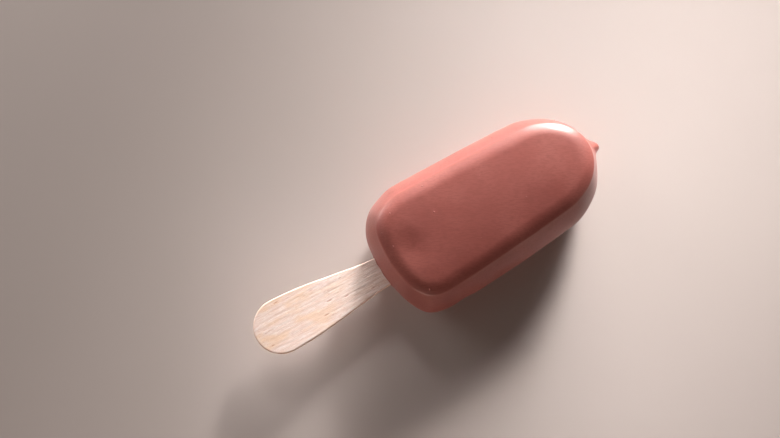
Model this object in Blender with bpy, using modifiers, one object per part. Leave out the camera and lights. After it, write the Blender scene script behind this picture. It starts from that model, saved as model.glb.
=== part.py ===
"""Ice cream bar: a chocolate coated bar on a flat wooden stick.

The bar tapers from the stick end to a round far end and is alike above and below
its middle plane. Its walls lean in from the widest line, at mid height, to a
ridge, where a round shoulder takes over and runs up to a slightly crowned face.
A drip tail of coating stands out of the far end. The stick lies in the middle
plane and is frozen into a slot of its own outline.

Metres, +Z up. The bar lies flat along X with its stick towards -X. The origin is
on the ground under the middle of the overall length.
"""

import math

import bmesh
import bpy
from mathutils import Vector

# Bar, plan view
BAR_LENGTH = 0.0800
FAR_RADIUS = 0.0199         # round far end
NEAR_RADIUS = 0.0500        # shallow arc of the stick end
CORNER_RADIUS = 0.0160
SIDE_TAPER = math.radians(3.2)

# Bar, cross-section
BAR_THICKNESS = 0.0260
SIDE_DRAFT = 0.0046         # how far the ridge lies inside the widest line, on the sides
END_DRAFT = 0.0028          # the same at the two ends
WALL_BULGE = 1.4            # 1 is a flat wall, more starts it upright at the widest line
SHOULDER_RADIUS = 0.0085
SHOULDER_SLOPE = math.radians(42)
CROWN_WIDTH = 0.0050        # band of gentle slope between shoulder and flat
CROWN_SLOPE = math.radians(4)

# Drip tail
TAIL_LENGTH = 0.0028
TAIL_TIP_RADIUS = 0.0013
TAIL_FLARE = 0.0022         # how much wider its foot is than its tip
TAIL_HOLLOW = 1.5           # 1 is a straight cone, more draws its flank in
TAIL_FOOT = -0.0006         # where the flare ends, just inside the bar's end
TAIL_ROOT = -0.0030         # where the foot ends, inside the bar
TAIL_OFFSET_Y = -0.0010
TAIL_SIDES = 20
TIP_STEPS = 5
TAIL_STEPS = 6

# Stick
STICK_LENGTH = 0.0940
STICK_OUT = 0.0460          # stretch outside the bar
STICK_THICKNESS = 0.0020
STICK_EDGE = 0.0004         # eased edge
PADDLE_RADIUS = 0.0090
NECK_RADIUS = 0.0049
FLARE_LENGTH = 0.0430       # stretch over which paddle becomes neck
STICK_TURN = math.radians(-3.0)
STICK_OFFSET_Y = 0.0017     # of the paddle's round end
GAP = 0.0003                # between wood and coating

ARC_STEP = math.radians(7.5)
WALL_STEPS = 6
SHOULDER_STEPS = 6
FLARE_STEPS = 16

OVERALL = STICK_OUT + BAR_LENGTH + TAIL_LENGTH
NEAR_X = STICK_OUT - OVERALL / 2
FAR_X = NEAR_X + BAR_LENGTH
MID_Z = BAR_THICKNESS / 2


def clear_scene():
    for obj in list(bpy.data.objects):
        bpy.data.objects.remove(obj, do_unlink=True)


def new_collection(name):
    collection = bpy.data.collections.new(name)
    bpy.context.scene.collection.children.link(collection)
    return collection


def new_material(name, colour, roughness, metallic=0.0):
    material = bpy.data.materials.new(name)
    material.use_nodes = True
    shader = material.node_tree.nodes["Principled BSDF"]
    shader.inputs["Base Color"].default_value = (*colour, 1.0)
    shader.inputs["Roughness"].default_value = roughness
    shader.inputs["Metallic"].default_value = metallic
    return material


def arc(centre, radius, start, end):
    """Steps of an arc as (centre, radius, angle of the outward normal)."""
    steps = max(1, math.ceil(abs(end - start) / ARC_STEP))
    return [(centre, radius, start + (end - start) * i / steps) for i in range(steps + 1)]


def bar_outline():
    """The widest line of the bar: far arc, corner, near arc, corner.

    The straight sides touch the far arc at the taper angle, and each corner arc
    touches its side and the near arc.
    """
    far_centre = Vector((FAR_X - FAR_RADIUS, 0))
    near_centre = Vector((NEAR_X + NEAR_RADIUS, 0))
    touch = math.pi / 2 - SIDE_TAPER
    normal = Vector((math.cos(touch), math.sin(touch)))
    along = Vector((-normal.y, normal.x))
    start = far_centre + normal * (FAR_RADIUS - CORNER_RADIUS) - near_centre
    reach = NEAR_RADIUS - CORNER_RADIUS
    run = math.sqrt(start.dot(along) ** 2 - start.length_squared + reach ** 2) - start.dot(along)
    corner = near_centre + start + along * run
    to_corner = corner - near_centre
    turn = math.atan2(to_corner.y, to_corner.x)
    lower_corner = Vector((corner.x, -corner.y))
    full = 2 * math.pi
    return (arc(far_centre, FAR_RADIUS, -touch, touch)
            + arc(corner, CORNER_RADIUS, touch, turn)
            + arc(near_centre, NEAR_RADIUS, turn, full - turn)[1:-1]
            + arc(lower_corner, CORNER_RADIUS, full - turn, full - touch))


def half_section():
    """Steps of (inset on the sides, inset at the ends, height over the middle plane)."""
    shoulder_rise = SHOULDER_RADIUS * (math.cos(CROWN_SLOPE) - math.cos(SHOULDER_SLOPE))
    crown_radius = CROWN_WIDTH / math.sin(CROWN_SLOPE)
    crown_rise = crown_radius * (1 - math.cos(CROWN_SLOPE))
    ridge_height = BAR_THICKNESS / 2 - shoulder_rise - crown_rise
    steps = []
    for i in range(WALL_STEPS + 1):
        part = i / WALL_STEPS
        lean = part ** WALL_BULGE
        steps.append((SIDE_DRAFT * lean, END_DRAFT * lean, ridge_height * part))
    for i in range(1, SHOULDER_STEPS + 1):
        slope = SHOULDER_SLOPE + (CROWN_SLOPE - SHOULDER_SLOPE) * i / SHOULDER_STEPS
        inset = SHOULDER_RADIUS * (math.sin(SHOULDER_SLOPE) - math.sin(slope))
        rise = SHOULDER_RADIUS * (math.cos(slope) - math.cos(SHOULDER_SLOPE))
        steps.append((SIDE_DRAFT + inset, END_DRAFT + inset, ridge_height + rise))
    last_side, last_end, _ = steps[-1]
    steps.append((last_side + CROWN_WIDTH, last_end + CROWN_WIDTH, BAR_THICKNESS / 2))
    return steps


def inset_ring(outline, side_inset, end_inset, height):
    """The outline drawn in along its normals, by one amount sideways and one lengthways."""
    points = []
    for centre, radius, angle in outline:
        inset = side_inset * math.sin(angle) ** 2 + end_inset * math.cos(angle) ** 2
        out = Vector((math.cos(angle), math.sin(angle)))
        points.append((*(centre + out * (radius - inset)), height))
    return points


def make_half_bar():
    """Upper half of the bar, lofted through the insets of its outline, open below."""
    outline = bar_outline()
    mesh_maker = bmesh.new()
    rings = []
    for step in half_section():
        rings.append([mesh_maker.verts.new(point) for point in inset_ring(outline, *step)])
    for lower, upper in zip(rings, rings[1:]):
        for i in range(len(outline)):
            j = (i + 1) % len(outline)
            mesh_maker.faces.new((lower[i], lower[j], upper[j], upper[i]))
    mesh_maker.faces.new(rings[-1])
    mesh = bpy.data.meshes.new("coated_bar")
    mesh_maker.to_mesh(mesh)
    mesh_maker.free()
    return bpy.data.objects.new("coated_bar", mesh)


def make_tail():
    """Drip tail, turned: a round tip on a foot that flares out into the bar's end."""
    profile = []
    tip_centre = TAIL_LENGTH - TAIL_TIP_RADIUS
    for i in range(TIP_STEPS + 1):
        angle = math.pi / 2 * i / TIP_STEPS
        profile.append((TAIL_TIP_RADIUS * math.sin(angle),
                        tip_centre + TAIL_TIP_RADIUS * math.cos(angle)))
    for i in range(1, TAIL_STEPS + 1):
        part = i / TAIL_STEPS
        profile.append((TAIL_TIP_RADIUS + TAIL_FLARE * part ** TAIL_HOLLOW,
                        tip_centre + (TAIL_FOOT - tip_centre) * part))
    profile.append((TAIL_TIP_RADIUS + TAIL_FLARE, TAIL_ROOT))
    profile.append((0.0, TAIL_ROOT))
    points = [(radius, 0.0, height) for radius, height in profile]
    mesh = bpy.data.meshes.new("drip_tail")
    mesh.from_pydata(points, [(i, i + 1) for i in range(len(points) - 1)], [])
    tail = bpy.data.objects.new("drip_tail", mesh)
    screw = tail.modifiers.new("turn", "SCREW")
    screw.steps = TAIL_SIDES
    screw.render_steps = TAIL_SIDES
    screw.use_merge_vertices = True
    screw.merge_threshold = 0.00001
    tail.location = (FAR_X, TAIL_OFFSET_Y, MID_Z)
    tail.rotation_euler = (0.0, math.pi / 2, 0.0)
    return tail


def stick_half_width(x):
    """Half the stick's width at x from the paddle's centre: level, flare down, level."""
    part = min(max(x / FLARE_LENGTH, 0.0), 1.0)
    return NECK_RADIUS + (PADDLE_RADIUS - NECK_RADIUS) * (1 + math.cos(math.pi * part)) / 2


def stick_curve(name, grow):
    """The stick as a flat outline, grown all round by an allowance."""
    paddle = arc(Vector((0, 0)), PADDLE_RADIUS, math.pi / 2, math.pi * 3 / 2)
    neck_x = STICK_LENGTH - PADDLE_RADIUS - NECK_RADIUS
    neck = arc(Vector((neck_x, 0)), NECK_RADIUS, -math.pi / 2, math.pi / 2)
    flare = [FLARE_LENGTH * i / FLARE_STEPS for i in range(1, FLARE_STEPS + 1)]
    lower_side = [Vector((x, -stick_half_width(x))) for x in flare]
    upper_side = [Vector((x, stick_half_width(x))) for x in reversed(flare)]
    ends = []
    for end in (paddle, neck):
        ends.append([centre + Vector((math.cos(angle), math.sin(angle))) * radius
                     for centre, radius, angle in end])
    points = ends[0] + lower_side + ends[1] + upper_side
    curve = bpy.data.curves.new(name, "CURVE")
    curve.dimensions = "2D"
    curve.fill_mode = "BOTH"
    spline = curve.splines.new("POLY")
    spline.points.add(len(points) - 1)
    for target, point in zip(spline.points, points):
        target.co = (point.x, point.y, 0.0, 1.0)
    spline.use_cyclic_u = True
    curve.bevel_depth = STICK_EDGE
    curve.bevel_resolution = 1
    curve.extrude = STICK_THICKNESS / 2 + grow - STICK_EDGE
    curve.offset = grow - STICK_EDGE
    stick = bpy.data.objects.new(name, curve)
    stick.location = (PADDLE_RADIUS - OVERALL / 2, STICK_OFFSET_Y, MID_Z)
    stick.rotation_euler = (0.0, 0.0, STICK_TURN)
    return stick


def curve_to_mesh(obj, collection):
    """Replace a curve object in its collection by a welded mesh of the same name."""
    bpy.context.view_layer.update()
    depsgraph = bpy.context.evaluated_depsgraph_get()
    mesh = bpy.data.meshes.new_from_object(obj.evaluated_get(depsgraph))
    mesh_maker = bmesh.new()
    mesh_maker.from_mesh(mesh)
    bmesh.ops.remove_doubles(mesh_maker, verts=mesh_maker.verts, dist=0.00001)
    mesh_maker.to_mesh(mesh)
    mesh_maker.free()
    name = obj.name
    place = obj.matrix_world.copy()
    bpy.data.objects.remove(obj, do_unlink=True)
    piece = bpy.data.objects.new(name, mesh)
    piece.matrix_world = place
    collection.objects.link(piece)
    return piece


def shade_round(obj, crease):
    obj.data.shade_smooth()
    obj.data.set_sharp_from_angle(angle=crease)


def mark_as_tool(obj):
    """A body that only cuts or joins another: drawn as wire and never rendered."""
    obj.hide_render = True
    obj.display_type = "WIRE"


def add_boolean(obj, name, operation, other):
    boolean = obj.modifiers.new(name, "BOOLEAN")
    boolean.operation = operation
    boolean.solver = "EXACT"
    boolean.object = other


def build():
    clear_scene()
    parts = new_collection("ice_cream_bar")
    tools = new_collection("cutters")

    slot_curve = stick_curve("stick_slot", GAP)
    tools.objects.link(slot_curve)
    slot = curve_to_mesh(slot_curve, tools)
    mark_as_tool(slot)
    tail = make_tail()
    tools.objects.link(tail)
    mark_as_tool(tail)

    bar = make_half_bar()
    parts.objects.link(bar)
    bar.location = (0.0, 0.0, MID_Z)
    mirror = bar.modifiers.new("lower_half", "MIRROR")
    mirror.use_axis = (False, False, True)
    mirror.use_clip = True
    mirror.merge_threshold = 0.00001
    add_boolean(bar, "tail", "UNION", tail)
    add_boolean(bar, "slot", "DIFFERENCE", slot)
    bar.data.materials.append(new_material("milk_chocolate", (0.27, 0.085, 0.055), 0.38))
    shade_round(bar, math.radians(15))

    stick_outline = stick_curve("stick", 0.0)
    parts.objects.link(stick_outline)
    stick = curve_to_mesh(stick_outline, parts)
    stick.data.materials.append(new_material("birch_wood", (0.82, 0.68, 0.50), 0.62))
    shade_round(stick, math.radians(50))


build()
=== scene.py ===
"""Looks of an ice cream bar on a flat wooden stick.

Two bodies are surfaced here: the milk chocolate coating, with its drip tail, its
mouth round the stick and a few small bubbles, and the birch stick with its grain.
Shapes are worked out in millimetres and put into metres as each mesh is made.
"""

import math

import bmesh
import bpy
import numpy as np
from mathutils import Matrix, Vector


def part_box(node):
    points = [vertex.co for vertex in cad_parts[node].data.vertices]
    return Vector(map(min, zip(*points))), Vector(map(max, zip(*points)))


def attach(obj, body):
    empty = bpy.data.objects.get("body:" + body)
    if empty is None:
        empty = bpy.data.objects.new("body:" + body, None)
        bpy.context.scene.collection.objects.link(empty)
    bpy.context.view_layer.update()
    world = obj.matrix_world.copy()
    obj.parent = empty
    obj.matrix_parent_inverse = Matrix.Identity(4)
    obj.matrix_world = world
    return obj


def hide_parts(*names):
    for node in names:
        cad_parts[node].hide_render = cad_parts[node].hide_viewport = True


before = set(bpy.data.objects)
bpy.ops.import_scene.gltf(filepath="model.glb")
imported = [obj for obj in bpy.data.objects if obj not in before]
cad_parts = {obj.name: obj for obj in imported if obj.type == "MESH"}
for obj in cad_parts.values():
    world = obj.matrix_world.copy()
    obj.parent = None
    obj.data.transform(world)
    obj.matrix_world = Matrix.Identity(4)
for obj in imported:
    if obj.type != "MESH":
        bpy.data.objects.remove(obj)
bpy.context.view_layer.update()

MM = 0.001
WORLD_UP = np.array([0.0, 0.0, 1.0])


def box_mm(node):
    """Lowest and highest corner of a node, in millimetres."""
    low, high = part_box(node)
    return np.array(low) / MM, np.array(high) / MM


BAR_LOW, BAR_HIGH = box_mm("coated_bar")
STICK_LOW, STICK_HIGH = box_mm("stick")

# Bar, plan view
TAIL_LENGTH = 2.8
SLOT_LOSS = 0.265               # what the stick's slot takes off the near arc's middle
NEAR_X = BAR_LOW[0] - SLOT_LOSS
FAR_X = BAR_HIGH[0] - TAIL_LENGTH
MID_Z = (BAR_LOW[2] + BAR_HIGH[2]) / 2
HALF_THICKNESS = (BAR_HIGH[2] - BAR_LOW[2]) / 2
FAR_RADIUS = 19.9
NEAR_RADIUS = 50.0
CORNER_RADIUS = 16.0
SIDE_TAPER = math.radians(3.2)

# Bar, section
SIDE_DRAFT = 4.6                # how far the ridge lies inside the widest line, on the sides
END_DRAFT = 2.6
END_LEAN = 0.9                  # how much less it is at the far end, and more at the stick end
WALL_BULGE = 1.4
SHOULDER_RADIUS = 8.5
SHOULDER_SLOPE = math.radians(42)
TOP_CROWN = math.radians(6.5)   # slope where the shoulder meets the face
BASE_CROWN = math.radians(4)
FACE_HALF = 12.3                # half width of the face inside the shoulders
BASE_BAND = 5.0                 # band of the underside that slopes before its flat
SPINE_SHORTER = 0.9             # how much nearer the ends the spine runs than the face's half width
PARALLEL_BAND = 4.7             # part of the face that still runs parallel to the outline
RIDGE_SOFTNESS = 0.42           # how widely the ridge is rounded over
# Unevenness of the outline: place along it from the far middle (left side positive),
# how far it stands out there, and over what length
UNEVENNESS = ((-97, -0.50, 6.0), (-85.5, 0.85, 4.2), (-74, -0.60, 5.0), (-47, 0.45, 13.0),
              (-20.5, -0.32, 6.0), (-4.5, 0.30, 4.0), (4.0, 0.48, 7.0), (23, -0.45, 8.0), (80, -0.66, 5.0))
UNEVEN_AT_RIDGE = 0.45          # share of it that the ridge follows
UNEVEN_FADE = 7.0               # how far inside the ridge it has died away
LENGTH_CROWN = 0.050            # share by which the top is lower at the stick end
CROWN_MIDDLE = 34.0             # where the top is highest

# Drip tail
TAIL_Y = -1.0
TAIL_RADIUS = 2.05
TAIL_BLUNTNESS = 3.2
TAIL_FOOT = 0.44                # share of its length that is the wide foot
TAIL_FOOT_RADIUS = 3.6
TAIL_DROOP = 0.60
TAIL_SINK = 0.25                # share of the droop that goes downwards

# Mouth: coating drawn out round the stick
MOUTH_HEIGHT = 0.20
MOUTH_REACH = 0.6
MOUTH_UNEVENNESS = 0.35
MOUTH_RIPPLE = 4.2
# Reach of the painted shade that darkens the coating round the stick
MOUTH_SHADE_REACH = 1.6

# Relief of the coating: (height, wave length, seed)
SWELLS = ((0.040, 30, 3), (0.008, 11, 4))
RIPPLES = ((0.0022, 3.6, 5), (0.0010, 1.6, 6))
RUNS = (0.020, 8.0, 8)
RUN_STRETCH = 0.18              # how little they change down the wall
BEAD_HEIGHT, BEAD_AT, BEAD_WIDTH = 0.045, 0.15, 0.75
# Hollows of the top near the stick: depth, place from the near end, half length, y, half width
HOLLOWS = ((-0.20, 14, 10, 4, 9), (-0.34, 11.2, 5.2, -0.3, 5.0))

# Bubbles: x, y and size
PLACED_BUBBLES = ((-7.0, 13.6, 0.32), (-13.4, 9.8, 0.26), (-11.9, 3.6, 0.30), (5.2, 6.2, 0.28),
                  (6.6, 16.4, 0.32), (-9.8, -15.0, 0.30), (33.0, -5.2, 0.26), (-18.0, 0.0, 0.28),
                  (24.0, 9.0, 0.16), (45.0, 3.0, 0.17), (14.0, -9.0, 0.16))
SCATTERED_BUBBLES = 16
SCATTERED_SIZE = (0.13, 0.22)
BUBBLE_FLATNESS = 0.60
BUBBLE_SINK = 0.12
LOWEST_BUBBLE = 3.0             # none on the underside, so that the bar still lies flat

# Stick
STICK_LENGTH = 94.0
PADDLE_RADIUS = 9.0
NECK_RADIUS = 4.9
FLARE_LENGTH = 43.0
STICK_TURN = math.radians(-3.0)
STICK_Y = 1.7
STICK_HALF_THICKNESS = (STICK_HIGH[2] - STICK_LOW[2]) / 2
STICK_EDGE = 0.42
STICK_PARALLEL = 3.6            # band of its face that runs parallel to the outline
GRAIN = ((0.011, 0.9, 21), (0.006, 0.42, 22))   # height, wave length, seed
SWELL_HEIGHT = 0.03
EDGE_WEAR = 0.02
STICK_SLACK = 0.05              # how far relief may stand out of its thickness
PADDLE_X = STICK_LOW[0] + PADDLE_RADIUS

# Sampling
ARC_SAMPLES = 900
WALL_SAMPLES, SHOULDER_SAMPLES, FACE_SAMPLES = 600, 400, 500
PLAN_SPACING = 0.42             # between samples round the bar
CLOSER_AT_TAIL, CLOSER_AT_MOUTH = 0.28, 0.22
CROWDED = 4.0                   # length over which they stand closer there
MOUTH_FROM_AXIS = 3.0
RING_SPACING = 0.50
CLOSER_AT_WIDEST, CLOSER_AT_RIDGE, CLOSER_AT_SHOULDER = 0.26, 0.34, 0.12
SHOULDER_FROM_RIDGE = 3.0
ROUNDED_BAND = (1.2, 2.4)       # the ridge is fully rounded within the first, not past the second
EVEN_STEP = 0.02
KERNEL_STEPS = 60               # reach of the averaging to each side
BASE_COARSENESS = 1.45
STICK_SPACING = 0.55
MERGE = 0.002

BRUSH_SLANT = math.radians(31.4)    # of the coating's faint streaks to the bar's axis

# Colours, linear
CHOCOLATE = (0.238, 0.059, 0.046)
CHOCOLATE_PALE = (0.272, 0.073, 0.057)
CHOCOLATE_DEEP = (0.195, 0.044, 0.033)
BIRCH = (0.870, 0.680, 0.595)
BIRCH_PALE = (0.930, 0.790, 0.735)
BIRCH_WARM = (0.760, 0.510, 0.400)
BIRCH_YELLOW = (0.860, 0.600, 0.420)
BIRCH_FLECK = (0.520, 0.200, 0.100)
BIRCH_EDGE = (0.680, 0.440, 0.270)
BOARD = (0.465, 0.400, 0.370)
BOARD_PALE = (0.500, 0.432, 0.402)
SOFT_WHITE = (1.0, 0.97, 0.95)
WARM_WHITE = (1.0, 0.74, 0.62)
SKY = (0.92, 0.94, 1.0)

# Camera
VIEW_TURN = 31.4                # the bar's axis runs this far over the view's level, in degrees
VIEW_ELEVATION = 81.2
VIEW_DISTANCE = 0.4918          # metres
VIEW_LENS = 69.2
VIEW_AIM = (NEAR_X + 11.5, 13.3, MID_Z)

# Lamps: name, bearing past the far side of the view, elevation, distance (m), what it
# faces, size (m), watts, colour and spread in degrees
LAMPS = (("key", -8, 9.5, 0.75, "far_end", (0.62, 0.24), 2.45, SOFT_WHITE, 60),
         ("high_key", -18, 23, 0.50, "far_end", (0.18, 0.14), 0.245, SOFT_WHITE, 23),
         ("top", -30, 50, 0.60, "middle", (0.30, 0.18), 0.05, SOFT_WHITE, 180),
         ("handle_light", 10, 42, 0.26, "handle", (0.06, 0.06), 0.0031, SOFT_WHITE, 15),
         ("left_side", 52, 6, 0.56, "near_end", (0.28, 0.12), 0.72, SOFT_WHITE, 100),
         ("near_side", 96, 40, 0.56, "handle", (0.24, 0.20), 0.05, SOFT_WHITE, 180),
         ("fill", 164, 8, 0.80, "middle", (0.56, 0.22), 0.64, WARM_WHITE, 90))
# Where along the bar each lamp faces, in metres
FACED = {"far_end": 0.088, "middle": (NEAR_X + FAR_X) / 2 * MM, "near_end": -0.018, "handle": -0.042}
BACKDROP_LAMPS = 4
BACKDROP_WATTS = 7.0


# ---------------------------------------------------------------- shapes

def waves(points, length, seed, count=24):
    """Smooth noise of unit size: the sum of plane waves in random directions.

    Each wave is cos(k . p + phase), with |k| = 2 pi / length varied by a third.
    """
    rng = np.random.default_rng(seed)
    heading = rng.normal(size=(count, 3))
    heading /= np.linalg.norm(heading, axis=1)[:, None]
    size = 2 * np.pi / (length * rng.uniform(0.75, 1.35, count))
    phase = rng.uniform(0, 2 * np.pi, count)
    return np.cos(points @ (heading * size[:, None]).T + phase).sum(-1) / math.sqrt(count / 2)


def smooth_step(low, high, value):
    """0 at low, 1 at high, and 3t^2 - 2t^3 between."""
    part = np.clip((value - low) / (high - low), 0, 1)
    return part * part * (3 - 2 * part)


def hump(value, centre, width):
    """exp(-((value - centre) / width)^2)"""
    return np.exp(-((value - centre) / width) ** 2)


def spread_samples(length, spacing):
    """Places along a length whose distance apart follows the wanted spacing there."""
    share = np.concatenate([[0.0], np.cumsum(np.diff(length) * 2 / (spacing[1:] + spacing[:-1]))])
    count = max(2, int(round(share[-1])))
    return np.interp(np.linspace(0, share[-1], count + 1), share, length)


def run_length(*coordinates):
    """Distance run along a line of points, from its first."""
    steps = np.sqrt(sum(np.diff(c) ** 2 for c in coordinates))
    return np.concatenate([[0.0], np.cumsum(steps)])


def grid_normals(points, flat_rows=()):
    """Unit normals of a grid whose columns close on themselves, by central differences."""
    around = np.roll(points, -1, axis=1) - np.roll(points, 1, axis=1)
    along = np.gradient(points, axis=0)
    normals = np.cross(around, along)
    size = np.linalg.norm(normals, axis=2, keepdims=True)
    normals = normals / np.maximum(size, 1e-12)
    for row, normal in flat_rows:
        normals[row] = normal
    return normals


def closed_half(x, y, angle):
    """A half outline over the axis joined to its mirror image under it."""
    return (np.concatenate([x, x[-2:0:-1]]),
            np.concatenate([y, -y[-2:0:-1]]),
            np.concatenate([angle, -angle[-2:0:-1]]))


def bar_plan():
    """The widest line of the bar: points and angles of the outward normal.

    Far arc, straight side at the taper angle, corner arc that touches side and
    near arc, near arc; then the mirror image. Samples crowd at tail and mouth.
    """
    far_centre = np.array([FAR_X - FAR_RADIUS, 0.0])
    near_centre = np.array([NEAR_X + NEAR_RADIUS, 0.0])
    touch = math.pi / 2 - SIDE_TAPER
    normal = np.array([math.cos(touch), math.sin(touch)])
    along = np.array([-normal[1], normal[0]])
    start = far_centre + normal * (FAR_RADIUS - CORNER_RADIUS) - near_centre
    reach = NEAR_RADIUS - CORNER_RADIUS
    run = math.sqrt((start @ along) ** 2 - start @ start + reach ** 2) - start @ along
    corner = near_centre + start + along * run
    turn = math.atan2(*(corner - near_centre)[::-1])
    pieces = []
    for centre, radius, first, last in ((far_centre, FAR_RADIUS, 0.0, touch),
                                        (corner, CORNER_RADIUS, touch, turn),
                                        (near_centre, NEAR_RADIUS, turn, math.pi)):
        angle = np.linspace(first, last, ARC_SAMPLES)
        pieces.append((centre[0] + radius * np.cos(angle), centre[1] + radius * np.sin(angle), angle))
    x, y, angle = (np.concatenate(parts) for parts in zip(*pieces))
    length = run_length(x, y)
    at_tail = hump(length, 0, CROWDED)
    at_mouth = hump(length, length[-1] - MOUTH_FROM_AXIS, CROWDED)
    spacing = PLAN_SPACING - CLOSER_AT_TAIL * at_tail - CLOSER_AT_MOUTH * at_mouth
    at = spread_samples(length, spacing)
    x, y, angle = closed_half(*(np.interp(at, length, values) for values in (x, y, angle)))
    run = np.concatenate([at, -at[-2:0:-1]])
    push = sum(out * hump(run, middle, width) for middle, out, width in UNEVENNESS)
    return x, y, angle, push


def bar_section(crown, band, coarse):
    """Half of the bar's section, from the widest line in to the middle of the face.

    Gives the inset on the sides, the inset at the ends, the height over the middle
    plane, the share of the way from the last parallel ring to the spine, and the
    distance from the ridge. The wall leans in by draft * part^bulge, the shoulder is
    an arc from its steepest slope to the crown's, and the face's slope dies away
    evenly over its band. The line is then averaged over a short stretch to round
    the ridge.
    """
    shoulder_rise = SHOULDER_RADIUS * (math.cos(crown) - math.cos(SHOULDER_SLOPE))
    crown_rise = math.tan(crown) * band / 2
    ridge = HALF_THICKNESS - shoulder_rise - crown_rise
    part = np.linspace(0, 1, WALL_SAMPLES)
    wall_side = SIDE_DRAFT * part ** WALL_BULGE
    wall_end = END_DRAFT * part ** WALL_BULGE
    slope = np.linspace(SHOULDER_SLOPE, crown, SHOULDER_SAMPLES)[1:]
    shoulder = SHOULDER_RADIUS * (math.sin(SHOULDER_SLOPE) - np.sin(slope))
    rise = SHOULDER_RADIUS * (np.cos(slope) - math.cos(SHOULDER_SLOPE))
    inward = np.linspace(0, FACE_HALF, FACE_SAMPLES)[1:]
    sloping = np.minimum(inward, band)
    face = math.tan(crown) * (sloping - sloping ** 2 / (2 * band))
    parallel = np.minimum(inward, PARALLEL_BAND)
    blend = np.maximum(inward - PARALLEL_BAND, 0) / (FACE_HALF - PARALLEL_BAND)
    last = shoulder[-1]
    side = np.concatenate([wall_side, SIDE_DRAFT + shoulder, SIDE_DRAFT + last + parallel])
    end = np.concatenate([wall_end, END_DRAFT + shoulder, END_DRAFT + last + parallel])
    height = np.concatenate([ridge * part, ridge + rise, ridge + rise[-1] + face])
    to_spine = np.concatenate([0 * part, 0 * shoulder, blend])
    inset = np.concatenate([wall_side, SIDE_DRAFT + shoulder, SIDE_DRAFT + last + inward])
    length = run_length(inset, height)
    ridge_length = length[len(part) - 1]
    even = np.arange(0, length[-1], EVEN_STEP)
    reach = np.arange(-KERNEL_STEPS, KERNEL_STEPS + 1) * EVEN_STEP
    kernel = np.exp(-(reach / RIDGE_SOFTNESS) ** 2)
    kernel /= kernel.sum()
    within, past = ROUNDED_BAND
    near_ridge = smooth_step(past, within, np.abs(even - ridge_length))
    lines = []
    for values in (side, end, height):
        line = np.interp(even, length, values)
        soft = np.convolve(np.pad(line, KERNEL_STEPS, mode="edge"), kernel, mode="valid")
        lines.append(line + (soft - line) * near_ridge)
    lines.append(np.interp(even, length, to_spine))
    at_widest = hump(even, 0, 3.2)
    at_ridge = hump(even, ridge_length, 1.1)
    at_shoulder = hump(even, ridge_length + SHOULDER_FROM_RIDGE, 2.6)
    spacing = (RING_SPACING - CLOSER_AT_WIDEST * at_widest - CLOSER_AT_RIDGE * at_ridge
               - CLOSER_AT_SHOULDER * at_shoulder) * coarse
    at = spread_samples(even, spacing)
    side, end, height, to_spine = (np.interp(at, even, line) for line in lines)
    to_spine[-1] = 1.0
    return side, end, height, to_spine, at - ridge_length


def loft(plan, side, end, height, to_spine, spine_inset, push=0.0):
    """Rings of an outline drawn in along its normals, then gathered on to a spine.

    Point = base - normal * (side sin^2 + end cos^2 - push) of the normal's angle,
    moved towards the nearest point of the spine by the share that each ring names.
    """
    x, y, angle = plan
    inset = side[:, None] * np.sin(angle) ** 2 + end[:, None] * np.cos(angle) ** 2 - push
    ring_x = x - inset * np.cos(angle)
    ring_y = y - inset * np.sin(angle)
    spine_x = np.clip(ring_x, x.min() + spine_inset, x.max() - spine_inset)
    share = to_spine[:, None]
    points = np.empty((*ring_x.shape, 3))
    points[..., 0] = ring_x + (spine_x - ring_x) * share
    points[..., 1] = ring_y * (1 - share)
    points[..., 2] = height[:, None]
    return points


def bar_points():
    """The whole coating as a grid, rings from the spine under it to the spine on top.

    Returns the grid, and on the same grid the distance from the ridge.
    """
    *plan, uneven = bar_plan()
    spine_inset = END_DRAFT + SHOULDER_RADIUS * math.sin(SHOULDER_SLOPE) + FACE_HALF - SPINE_SHORTER
    halves = []
    for crown, band, coarse in ((TOP_CROWN, FACE_HALF, 1.0), (BASE_CROWN, BASE_BAND, BASE_COARSENESS)):
        side, end, height, to_spine, from_ridge = bar_section(crown, band, coarse)
        follow = 1 - (1 - UNEVEN_AT_RIDGE) * smooth_step(0, SIDE_DRAFT, side)
        follow *= smooth_step(SIDE_DRAFT + UNEVEN_FADE, SIDE_DRAFT, side)
        lean = np.minimum(side / SIDE_DRAFT, 1)[:, None] * END_LEAN * np.cos(plan[2]) ** 3
        half = loft(plan, side, end, height, to_spine, spine_inset,
                    follow[:, None] * uneven + lean)
        halves.append((half, np.repeat(from_ridge[:, None], half.shape[1], axis=1)))
    (top, top_ridge), (base, base_ridge) = halves
    from_middle = (top[..., 0] - CROWN_MIDDLE) / (CROWN_MIDDLE - NEAR_X)
    top[..., 2] *= 1 - LENGTH_CROWN * from_middle ** 2
    base[..., 2] *= -1
    points = np.concatenate([base[:0:-1], top])
    return points, np.concatenate([base_ridge[:0:-1], top_ridge])


def tail_push(points):
    """Displacement of the far end into a drip tail.

    Outward by length * exp(-(r / spread)^bluntness), where r is the distance from
    the tail's axis, plus a wider low foot; the tip is drawn to one side by the
    square of its height.
    """
    radius = np.hypot(points[..., 1] - TAIL_Y, points[..., 2])
    facing = smooth_step(FAR_X - 8, FAR_X - 3, points[..., 0])
    body = np.exp(-(radius / TAIL_RADIUS) ** TAIL_BLUNTNESS)
    foot = np.exp(-(radius / TAIL_FOOT_RADIUS) ** 2)
    lift = ((1 - TAIL_FOOT) * body + TAIL_FOOT * foot) * facing
    push = np.zeros_like(points)
    push[..., 0] = TAIL_LENGTH * lift
    push[..., 1] = -TAIL_DROOP * lift ** 2
    push[..., 2] = -TAIL_SINK * TAIL_DROOP * lift ** 2
    return push


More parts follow.
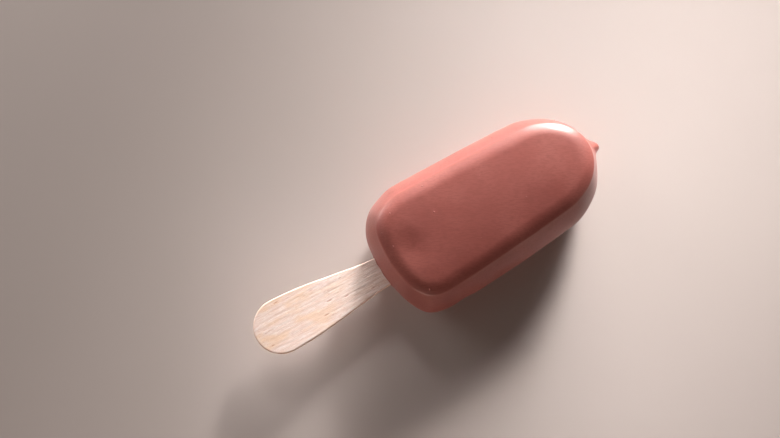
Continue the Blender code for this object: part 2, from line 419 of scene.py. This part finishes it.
def stick_frame(points, back=False):
    """Points of the stick's own frame put into the bar's, or the other way."""
    cos, sin = math.cos(STICK_TURN), math.sin(STICK_TURN)
    turn = np.array([[cos, -sin, 0], [sin, cos, 0], [0, 0, 1]])
    place = np.array([PADDLE_X, STICK_Y, 0.0])
    if back:
        return (points - place) @ turn
    return points @ turn.T + place


def stick_half_width(x):
    """Level at the paddle, a half cosine down the flare, level along the neck."""
    part = np.clip(x / FLARE_LENGTH, 0, 1)
    return NECK_RADIUS + (PADDLE_RADIUS - NECK_RADIUS) * (1 + np.cos(np.pi * part)) / 2


def mouth_push(points, normals):
    """Coating drawn out round the stick, by height * exp(-distance / reach).

    The distance is from the wood's section. Returns the push, and a mark that dies
    away from the wood more slowly: painted shade, by which the coating is darker near the wood.
    """
    own = stick_frame(points, back=True)
    aside = np.maximum(np.abs(own[..., 1]) - stick_half_width(own[..., 0]), 0)
    above = np.maximum(np.abs(own[..., 2]) - STICK_HALF_THICKNESS, 0)
    distance = np.hypot(aside, above)
    near_end = smooth_step(NEAR_X + 9, NEAR_X + 4, points[..., 0])
    uneven = 1 + MOUTH_UNEVENNESS * waves(points, MOUTH_RIPPLE, seed=31)
    height = MOUTH_HEIGHT * np.exp(-distance / MOUTH_REACH) * uneven * near_end
    return normals * height[..., None], np.exp(-distance / MOUTH_SHADE_REACH) * near_end


def coating_relief(points, from_ridge):
    """Height of the coating's unevenness along its normal, in millimetres.

    Slow swells, finer ripples, a thicker bead along the ridge, a shallow dip with a
    deeper spot in it near the stick end, and slight runs down the walls.
    """
    slow = sum(size * waves(points, length, seed) for size, length, seed in SWELLS)
    fine = sum(size * waves(points, length, seed) for size, length, seed in RIPPLES)
    bead = BEAD_HEIGHT * hump(from_ridge, BEAD_AT, BEAD_WIDTH)
    top = smooth_step(3, 9, points[..., 2])     # only the upper side
    dip, spot = (depth * hump(points[..., 0], NEAR_X + inward, length)
                 * hump(points[..., 1], aside, width) * top
                 for depth, inward, length, aside, width in HOLLOWS)
    wall = smooth_step(-0.6, -3.0, from_ridge)
    stretched = points * np.array([1.0, 1.0, RUN_STRETCH])
    run_height, run_width, run_seed = RUNS
    runs = run_height * waves(stretched, run_width, run_seed) * wall
    return slow + fine + bead + dip + spot + runs


# ---------------------------------------------------------------- meshes

def grid_faces(rows, columns):
    """Quads of a grid whose columns close on themselves, wound to face outwards."""
    row = np.arange(rows - 1)[:, None] * columns
    column = np.arange(columns)[None, :]
    following = (column + 1) % columns
    faces = np.stack([row + column, row + following,
                      row + columns + following, row + columns + column], axis=-1)
    return faces.reshape(-1, 4)


def make_piece(name, points, faces, attributes=None, merge=None):
    """A smooth mesh object from millimetre points, its equal points merged."""
    mesh = bpy.data.meshes.new(name)
    mesh.vertices.add(len(points))
    mesh.vertices.foreach_set("co", (points * MM).astype(np.float32).ravel())
    corners = faces.shape[1]
    mesh.loops.add(faces.size)
    mesh.loops.foreach_set("vertex_index", faces.astype(np.int32).ravel())
    mesh.polygons.add(len(faces))
    mesh.polygons.foreach_set("loop_start", np.arange(0, faces.size, corners, dtype=np.int32))
    for label, values in (attributes or {}).items():
        layer = mesh.attributes.new(label, "FLOAT", "POINT")
        layer.data.foreach_set("value", values.astype(np.float32).ravel())
    mesh.update(calc_edges=True)
    if merge:
        maker = bmesh.new()
        maker.from_mesh(mesh)
        bmesh.ops.remove_doubles(maker, verts=maker.verts, dist=merge * MM)
        maker.to_mesh(mesh)
        maker.free()
    mesh.validate()
    mesh.shade_smooth()
    piece = bpy.data.objects.new(name, mesh)
    bpy.context.scene.collection.objects.link(piece)
    return piece


def make_coating():
    """The coating: lofted bar, relief along its normals, mouth and drip tail."""
    points, from_ridge = bar_points()
    poles = ((0, -WORLD_UP), (-1, WORLD_UP))
    normals = grid_normals(points, poles)
    relief = coating_relief(points, from_ridge)
    # The mouth mark is painted shade: the coating is painted darker where it meets the stick.
    push, mouth = mouth_push(points, normals)
    shaped = points + normals * relief[..., None] + push + tail_push(points)
    shaped[..., 2] = np.maximum(shaped[..., 2], -HALF_THICKNESS) + MID_Z
    rows, columns = from_ridge.shape
    # Painted highlight: a mark along the ridge by which the chocolate is painted paler there.
    ridge_highlight_mark = np.exp(-(from_ridge / 0.9) ** 2)
    coating = make_piece("chocolate_coating", shaped.reshape(-1, 3), grid_faces(rows, columns),
                         {"ridge": ridge_highlight_mark, "mouth": mouth}, merge=MERGE)
    return coating, shaped, grid_normals(shaped, poles)


def make_bubbles(surface, normals):
    """Small bubbles set in the coating: low domes closed underneath, one mesh.

    Each dome's height is about flatness * size * (1 - r^2), sunk a little so that its
    rim is buried.
    """
    rng = np.random.default_rng(12)
    places = [np.array([x, y, HALF_THICKNESS * 2]) for x, y, _ in PLACED_BUBBLES]
    sizes = [size for _, _, size in PLACED_BUBBLES]
    for _ in range(SCATTERED_BUBBLES):
        x, y, z = rng.uniform(NEAR_X, FAR_X), rng.uniform(-24, 24), rng.uniform(4, 22)
        places.append(np.array([x, y, z]))
        sizes.append(rng.uniform(*SCATTERED_SIZE))
    flat, facing = surface.reshape(-1, 3), normals.reshape(-1, 3)
    around = np.linspace(0, 2 * np.pi, 12, endpoint=False)
    # A dome's profile, from its top over the rim to underneath
    out = np.array([0.05, 0.35, 0.62, 0.85, 1.0, 0.6, 0.05])
    rise = np.array([1.0, 0.90, 0.64, 0.28, 0.0, -0.25, -0.3])
    points, faces = [], []
    for place, size in zip(places, sizes):
        nearest = np.argmin(((flat - place) ** 2).sum(1))
        if flat[nearest][2] < LOWEST_BUBBLE:
            continue
        normal = facing[nearest]
        side = np.cross(normal, [0.3, 0.9, 0.1])
        side /= np.linalg.norm(side)
        other = np.cross(normal, side)
        ring = np.cos(around)[:, None] * side + np.sin(around)[:, None] * other
        dome = (flat[nearest] + size * out[:, None, None] * ring
                + size * BUBBLE_FLATNESS * (rise[:, None, None] - BUBBLE_SINK) * normal)
        faces.append(grid_faces(len(out), len(around))[:, ::-1] + sum(len(p) for p in points))
        points.append(dome.reshape(-1, 3))
    piece = make_piece("coating_bubbles", np.concatenate(points), np.concatenate(faces))
    close_holes(piece)
    return piece


def close_holes(piece):
    """Fill the small open rings that are left at the poles of a piece."""
    maker = bmesh.new()
    maker.from_mesh(piece.data)
    bmesh.ops.holes_fill(maker, edges=maker.edges, sides=0)
    bmesh.ops.recalc_face_normals(maker, faces=maker.faces)
    maker.to_mesh(piece.data)
    maker.free()
    piece.data.shade_smooth()


def stick_plan():
    """The stick's outline: round paddle, flare, neck and round inner end."""
    end_x = STICK_LENGTH - PADDLE_RADIUS - NECK_RADIUS
    round_end = np.linspace(0, math.pi / 2, 400)
    inner = (end_x + NECK_RADIUS * np.cos(round_end), NECK_RADIUS * np.sin(round_end), round_end)
    side_x = np.linspace(end_x, 0, 1200)[1:-1]
    side_y = stick_half_width(side_x)
    side_angle = math.pi - (math.pi / 2 - np.arctan(np.gradient(side_y, side_x)))
    paddle_angle = np.linspace(math.pi / 2, math.pi, 500)
    paddle = (PADDLE_RADIUS * np.cos(paddle_angle), PADDLE_RADIUS * np.sin(paddle_angle), paddle_angle)
    x = np.concatenate([inner[0], side_x, paddle[0]])
    y = np.concatenate([inner[1], side_y, paddle[1]])
    angle = np.concatenate([inner[2], side_angle, paddle[2]])
    length = run_length(x, y)
    at = spread_samples(length, np.full_like(length, STICK_SPACING))
    return closed_half(*(np.interp(at, length, values) for values in (x, y, angle)))


def make_stick():
    """The stick: outline lofted over eased edges on to its middle line, with grain.

    Grain is sums of waves drawn out twenty times along the stick.
    """
    edge = np.linspace(0, math.pi / 2, 7)
    edge_inset = STICK_EDGE * (1 - np.cos(edge))
    edge_height = STICK_HALF_THICKNESS - STICK_EDGE + STICK_EDGE * np.sin(edge)
    inner = np.linspace(0, 1, 42)[1:] ** 0.9
    face_inset = STICK_EDGE + np.minimum(inner / 0.5, 1) * (STICK_PARALLEL - STICK_EDGE)
    to_spine = np.maximum(inner - 0.5, 0) / 0.5
    inset = np.concatenate([[0.0], edge_inset, face_inset])
    height = np.concatenate([[0.0], edge_height, np.full(len(inner), STICK_HALF_THICKNESS)])
    share = np.concatenate([[0.0], 0 * edge, to_spine])
    plan = stick_plan()
    top = loft(plan, inset, inset, height, share, NECK_RADIUS)
    base = top * np.array([1.0, 1.0, -1.0])
    points = np.concatenate([base[:0:-1], top])
    normals = grid_normals(points, ((0, -WORLD_UP), (-1, WORLD_UP)))
    drawn = points * np.array([0.05, 1.0, 0.4])
    grain = sum(size * waves(drawn, length, seed) for size, length, seed in GRAIN)
    swell = SWELL_HEIGHT * waves(points * np.array([1.0, 0.4, 0.3]), 30, seed=23)
    edge_wear = EDGE_WEAR * waves(points, 5, seed=24)
    side_mark = 1 - np.abs(normals[..., 2])
    relief = grain + edge_wear * side_mark
    shaped = points + normals * relief[..., None]
    shaped[..., 2] += swell
    limit = STICK_HALF_THICKNESS + STICK_SLACK
    shaped[..., 2] = np.clip(shaped[..., 2], -limit, limit)
    placed = stick_frame(shaped) + WORLD_UP * MID_Z
    rows, columns = side_mark.shape
    return make_piece("birch_stick", placed.reshape(-1, 3), grid_faces(rows, columns),
                      {"side": side_mark, "along": points[..., 0]}, merge=MERGE)


# ---------------------------------------------------------------- finishes

class Field:
    """A socket that takes arithmetic: each operator adds one Math node behind it."""

    def __init__(self, finish, socket):
        self.finish = finish
        self.socket = socket

    def math(self, operation, *values):
        """One Math node of the given operation."""
        slots = dict(enumerate(values))
        return self.finish.node("ShaderNodeMath", {"operation": operation}, slots)

    def __add__(self, other):
        return self.math("ADD", self, other)

    def __radd__(self, other):
        return self.math("ADD", other, self)

    def __sub__(self, other):
        return self.math("SUBTRACT", self, other)

    def __rsub__(self, other):
        return self.math("SUBTRACT", other, self)

    def __mul__(self, other):
        return self.math("MULTIPLY", self, other)

    def __rmul__(self, other):
        return self.math("MULTIPLY", other, self)

    def step(self, low, high):
        """Smoothly from 0 at low to 1 at high."""
        settings = {"interpolation_type": "SMOOTHSTEP", "clamp": True}
        values = {"Value": self, "From Min": low, "From Max": high}
        return self.finish.node("ShaderNodeMapRange", settings, values)


class Finish:
    """A material in the making, with its Principled shader."""

    def __init__(self, name):
        self.material = bpy.data.materials.new(name)
        self.material.use_nodes = True
        self.tree = self.material.node_tree
        self.shader = self.tree.nodes["Principled BSDF"]

    def node(self, kind, settings=None, values=None, output=0):
        """Add a node: its settings first, then the values or links of its sockets."""
        made = self.tree.nodes.new(kind)
        for name, value in (settings or {}).items():
            setattr(made, name, value)
        for name, value in (values or {}).items():
            self.feed(made.inputs[name], value)
        return Field(self, made.outputs[output])

    def feed(self, socket, value):
        """Link a field to a socket, or set the socket's own value."""
        if isinstance(value, Field):
            self.tree.links.new(value.socket, socket)
        else:
            socket.default_value = value

    def set(self, **values):
        """Feed the shader's sockets, named with underscores for spaces."""
        for name, value in values.items():
            self.feed(self.shader.inputs[name.replace("_", " ")], value)

    def place(self, scale=(1, 1, 1), turn=0.0):
        """Object coordinates in millimetres, turned about Z and then stretched."""
        place = self.node("ShaderNodeTexCoord", output="Object")
        values = {"Vector": place, "Rotation": (0.0, 0.0, turn), "Scale": (1 / MM, 1 / MM, 1 / MM)}
        turned = self.node("ShaderNodeMapping", {"vector_type": "POINT"}, values)
        return self.node("ShaderNodeVectorMath", {"operation": "MULTIPLY"}, {0: turned, 1: scale})

    def noise(self, place, length, detail=2.0, roughness=0.5):
        """Noise from about 0.3 to 0.7 with features of a given length in millimetres."""
        values = {"Vector": place, "Scale": 1 / length, "Detail": detail, "Roughness": roughness}
        return self.node("ShaderNodeTexNoise", {}, values)

    def cells(self, place, length):
        """Distance from the nearest of scattered points a given length apart."""
        values = {"Vector": place, "Scale": 1 / length}
        return self.node("ShaderNodeTexVoronoi", {"feature": "F1"}, values, output="Distance")

    def mark(self, name):
        """A value stored on the mesh's points."""
        return self.node("ShaderNodeAttribute", {"attribute_name": name}, output="Fac")

    def tint(self, share, low, high):
        """Colour between two others."""
        values = {0: share, 6: self.colour(low), 7: self.colour(high)}
        return self.node("ShaderNodeMix", {"data_type": "RGBA"}, values, output=2)

    @staticmethod
    def colour(value):
        """A colour with its alpha, unless it is a link already."""
        return value if isinstance(value, Field) else (*value, 1.0)

    def bump(self, height):
        """Bump whose height is in millimetres."""
        return self.node("ShaderNodeBump", {}, {"Height": height, "Distance": MM, "Strength": 1.0})


def chocolate_finish():
    """Satin milk chocolate: slow drifts of tone, painted highlight paler along the ridge, painted shade
    round the stick and in pinhole pits, fine brushed peel, dull patches.
    """
    finish = Finish("satin_milk_chocolate")
    place = finish.place()
    drift = finish.noise(place, length=14.0, detail=3.0)
    mottle = finish.noise(place, length=2.6, detail=4.0, roughness=0.6)
    tone = finish.tint(drift.step(0.35, 0.65), CHOCOLATE, CHOCOLATE_PALE)
    tone = finish.tint(mottle.step(0.52, 0.75) * 0.35, tone, CHOCOLATE_DEEP)
    streaks = finish.place((0.22, 1.0, 1.0), BRUSH_SLANT)
    brushed = finish.noise(streaks, length=0.42, roughness=0.6)
    tone = finish.tint((1 - brushed.step(0.36, 0.60)) * 0.45, tone, CHOCOLATE_DEEP)
    # Painted highlight: the chocolate is painted paler along the ridge.
    tone = finish.tint(finish.mark("ridge") * 0.45, tone, CHOCOLATE_PALE)
    # Painted shade: the coating is painted darker round the stick, where it meets the wood.
    tone = finish.tint(finish.mark("mouth") * 0.35, tone, CHOCOLATE_DEEP)
    # Pinhole pits: a small dip in the bump, and painted shade darkening the chocolate in each.
    pinhole_pits_and_shade = 1 - finish.cells(place, length=3.2).step(0.02, 0.06)
    tone = finish.tint(pinhole_pits_and_shade * 0.35, tone, CHOCOLATE_DEEP)
    finish.set(Base_Color=tone)
    haze = finish.noise(place, length=7.0, detail=5.0, roughness=0.65)
    finish.set(Roughness=0.42 + 0.10 * haze.step(0.3, 0.7) + 0.05 * mottle)
    peel = finish.noise(place, length=0.9, detail=3.0, roughness=0.55)
    waviness = finish.noise(place, length=3.0)
    height = 0.006 * peel + 0.010 * waviness + 0.007 * brushed - 0.012 * pinhole_pits_and_shade
    finish.set(Normal=finish.bump(height))
    finish.set(Specular_IOR_Level=0.5, IOR=1.43)
    finish.set(Coat_Weight=0.26, Coat_Roughness=0.25)
    finish.set(Sheen_Weight=0.11, Sheen_Roughness=0.45, Sheen_Tint=(1.0, 0.93, 0.90, 1.0))
    return finish.material


def birch_finish():
    """Bare birch: fibres along the stick, short ray flecks, warm mottles by the paddle end, tan edges."""
    finish = Finish("bare_birch")
    turn = -STICK_TURN
    band_place = finish.place((0.030, 1.0, 0.6), turn)
    fibre_place = finish.place((0.055, 1.0, 0.8), turn)
    dash_place = finish.place((0.17, 1.0, 0.8), turn)
    fleck_place = finish.place((0.24, 1.0, 1.0), turn)
    cloud_place = finish.place((0.45, 1.0, 1.0), turn)
    bands = finish.noise(band_place, length=1.5, detail=3.0, roughness=0.6)
    fibres = finish.noise(fibre_place, length=0.26, detail=3.0, roughness=0.6)
    dashes = 1 - finish.noise(dash_place, length=0.34).step(0.34, 0.47)
    pores = 1 - finish.noise(fibre_place, length=0.20, detail=1.0).step(0.30, 0.40)
    cloud = finish.noise(cloud_place, length=4.2, detail=3.0)
    tone = finish.tint(bands.step(0.32, 0.68), BIRCH, BIRCH_PALE)
    tone = finish.tint((1 - fibres.step(0.36, 0.56)) * 0.55, tone, BIRCH_WARM)
    tone = finish.tint(dashes * 0.45, tone, BIRCH_WARM)
    tone = finish.tint(pores * 0.30, tone, BIRCH_FLECK)
    paddle = 1 - finish.mark("along").step(2.0, 32.0)
    tone = finish.tint(cloud.step(0.46, 0.64) * (0.10 + 0.70 * paddle), tone, BIRCH_YELLOW)
    rays = 1 - finish.cells(fleck_place, length=1.35).step(0.09, 0.25)
    chosen = finish.noise(cloud_place, length=1.7).step(0.47, 0.56)
    flecks = rays * chosen
    tone = finish.tint(flecks * 0.65, tone, BIRCH_FLECK)
    side = finish.mark("side").step(0.30, 0.80)
    tone = finish.tint(side * 0.80, tone, BIRCH_EDGE)
    finish.set(Base_Color=tone)
    finish.set(Roughness=0.52 + 0.18 * fibres.step(0.3, 0.7) + 0.08 * side)
    height = 0.035 * fibres + 0.025 * bands - 0.03 * flecks - 0.02 * pores
    finish.set(Normal=finish.bump(height))
    finish.set(Specular_IOR_Level=0.35)
    return finish.material


def floor_finish():
    """Pale matt studio board with the faintest mottle."""
    finish = Finish("pale_board")
    place = finish.place()
    mottle = finish.noise(place, length=60.0, detail=3.0)
    finish.set(Base_Color=finish.tint(mottle, BOARD, BOARD_PALE))
    finish.set(Roughness=0.75 + 0.1 * mottle)
    return finish.material


# ---------------------------------------------------------------- studio

def make_floor():
    """A round floor whose rim sweeps up into a wall: a turned profile of a flat and an arc."""
    pin_hole, flat_radius, sweep, wall_height = 0.002, 1.6, 0.9, 2.2
    flat_rings, bend_rings, sides = 16, 24, 96
    bend = np.linspace(0, math.pi / 2, bend_rings)[1:]
    flat = np.linspace(pin_hole, flat_radius, flat_rings)
    radius = np.concatenate([flat, flat_radius + sweep * np.sin(bend), [flat_radius + sweep]])
    height = np.concatenate([0 * flat, sweep * (1 - np.cos(bend)), [wall_height]])
    around = np.linspace(0, 2 * math.pi, sides, endpoint=False)
    points = np.empty((len(radius), len(around), 3))
    points[..., 0] = radius[:, None] * np.cos(around)
    points[..., 1] = radius[:, None] * np.sin(around)
    points[..., 2] = height[:, None]
    floor = make_piece("floor", points.reshape(-1, 3) / MM, grid_faces(*points.shape[:2]), merge=0.01)
    close_holes_at_middle(floor)
    floor.data.materials.append(floor_finish())


def close_holes_at_middle(piece):
    """Close the pin hole in the middle of the floor."""
    maker = bmesh.new()
    maker.from_mesh(piece.data)
    short = [edge for edge in maker.edges if edge.calc_length() < MM]
    bmesh.ops.holes_fill(maker, edges=short, sides=0)
    maker.to_mesh(piece.data)
    maker.free()
    piece.data.shade_smooth()


def look_matrix(position, target):
    """World matrix at a position, looking down its own -Z at a target, +Y upwards."""
    heading = Vector(target) - Vector(position)
    matrix = heading.to_track_quat("-Z", "Y").to_matrix().to_4x4()
    matrix.translation = position
    return matrix


def around_bar(bearing, elevation, distance, centre):
    """A point at a bearing (degrees from +X towards +Y), an elevation and a distance."""
    turn, lift = math.radians(bearing), math.radians(elevation)
    level = math.cos(lift)
    heading = Vector((math.cos(turn) * level, math.sin(turn) * level, math.sin(lift)))
    return Vector(centre) + heading * distance


def add_light(name, place, target, size, watts, colour, spread):
    """A rectangular soft light, in metres, that the camera itself does not see."""
    light = bpy.data.lights.new(name, "AREA")
    light.shape = "RECTANGLE"
    light.size, light.size_y = size
    light.energy = watts
    light.color = colour
    light.spread = math.radians(spread)
    lamp = bpy.data.objects.new(name, light)
    lamp.matrix_world = look_matrix(place, target)
    lamp.visible_camera = False
    bpy.context.scene.collection.objects.link(lamp)


def add_studio():
    """Low keys from beyond the bar, warm fill from this side, lamps on the wall, a dim sky."""
    beyond = 90 - VIEW_TURN
    for name, bearing, elevation, distance, faced, size, watts, colour, spread in LAMPS:
        centre = Vector((FACED[faced], 0.0, MID_Z * MM))
        place = around_bar(beyond + bearing, elevation, distance, centre)
        add_light(name, place, centre, size, watts, colour, spread)
    middle = Vector((FACED["middle"], 0.0, MID_Z * MM))
    for side in range(BACKDROP_LAMPS):
        turn = 45 + side * 360 / BACKDROP_LAMPS
        place = around_bar(turn, 70, 0.9, middle)
        wall = around_bar(turn, 12, 3.0, middle)
        add_light("backdrop", place, wall, (0.5, 0.3), BACKDROP_WATTS, SOFT_WHITE, 180)
    world = bpy.data.worlds.new("studio_sky")
    world.use_nodes = True
    sky = world.node_tree.nodes["Background"]
    sky.inputs["Color"].default_value = (*SKY, 1.0)
    sky.inputs["Strength"].default_value = 0.02
    bpy.context.scene.world = world


def add_camera():
    """The camera, looking steeply down at the bar from the lower side of the view."""
    camera = bpy.data.cameras.new("camera")
    camera.lens = VIEW_LENS
    camera.sensor_width = 36.0
    camera.clip_start = 0.01
    aim = Vector(VIEW_AIM) * MM
    place = around_bar(-90 - VIEW_TURN, VIEW_ELEVATION, VIEW_DISTANCE, aim)
    viewer = bpy.data.objects.new("camera", camera)
    viewer.matrix_world = look_matrix(place, aim)
    bpy.context.scene.collection.objects.link(viewer)
    bpy.context.scene.camera = viewer


# ---------------------------------------------------------------- assembly

add_camera()
make_floor()
add_studio()

chocolate = chocolate_finish()
coating, surface, facing = make_coating()
coating.data.materials.append(chocolate)
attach(coating, "root")

bubbles = make_bubbles(surface, facing)
bubbles.data.materials.append(chocolate)
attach(bubbles, "root")
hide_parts("coated_bar")

stick = make_stick()
stick.data.materials.append(birch_finish())
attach(stick, "root")
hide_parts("stick")

bpy.context.scene.view_settings.view_transform = "Standard"
